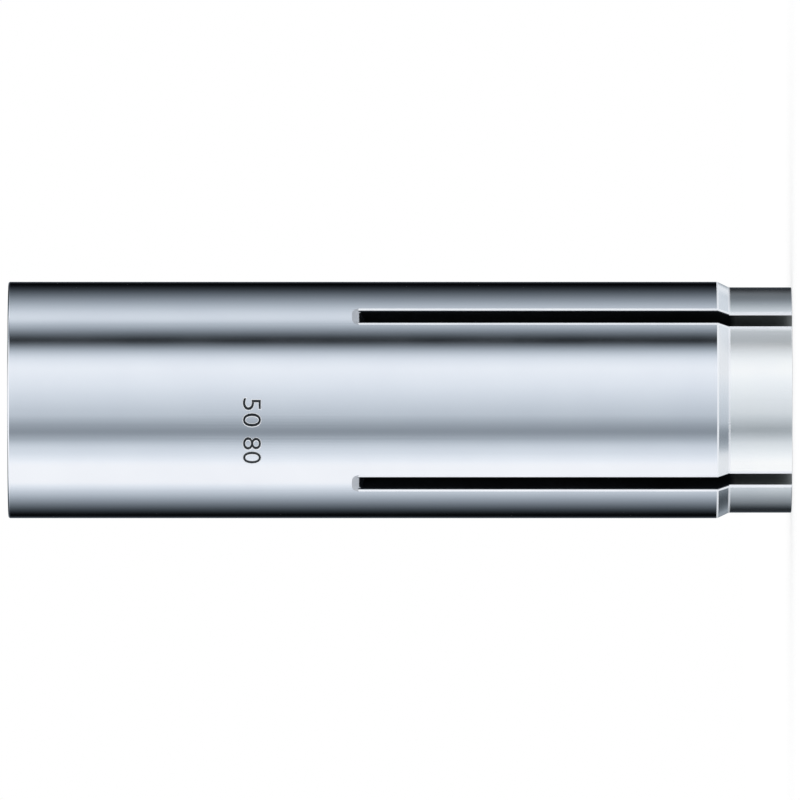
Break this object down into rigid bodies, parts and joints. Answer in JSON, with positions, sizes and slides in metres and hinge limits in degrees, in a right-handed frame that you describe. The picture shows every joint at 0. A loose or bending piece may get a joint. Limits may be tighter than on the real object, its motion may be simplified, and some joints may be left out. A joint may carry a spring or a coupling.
{
  "type": "drop in anchor",
  "caption": "Internally threaded steel sleeve with slotted expansion legs and a tapered plug inside, set in a drilled hole in concrete to take a bolt.",
  "frame": {"origin": "centre of the slotted end, on which the anchor stands", "axes": "+Z along the anchor's axis, from the slotted end to the threaded mouth; the four slots lie between the X and Y axes"},
  "size_m": [0.0152, 0.0152, 0.05],
  "materials": {
    "sleeve_steel": "bright zinc plating, smooth and slightly blue",
    "plug_steel": "plain zinc plating on turned steel"
  },
  "bodies": {
    "sleeve": {"anchor_sleeve": "sleeve_steel"},
    "plug": {"expansion_plug": "plug_steel"}
  },
  "joints": [
    {"name": "plug_slide", "type": "slide", "parent": "sleeve", "child": "plug", "axis": [0, 0, -1], "range_m": [0, 0.006]}
  ]
}
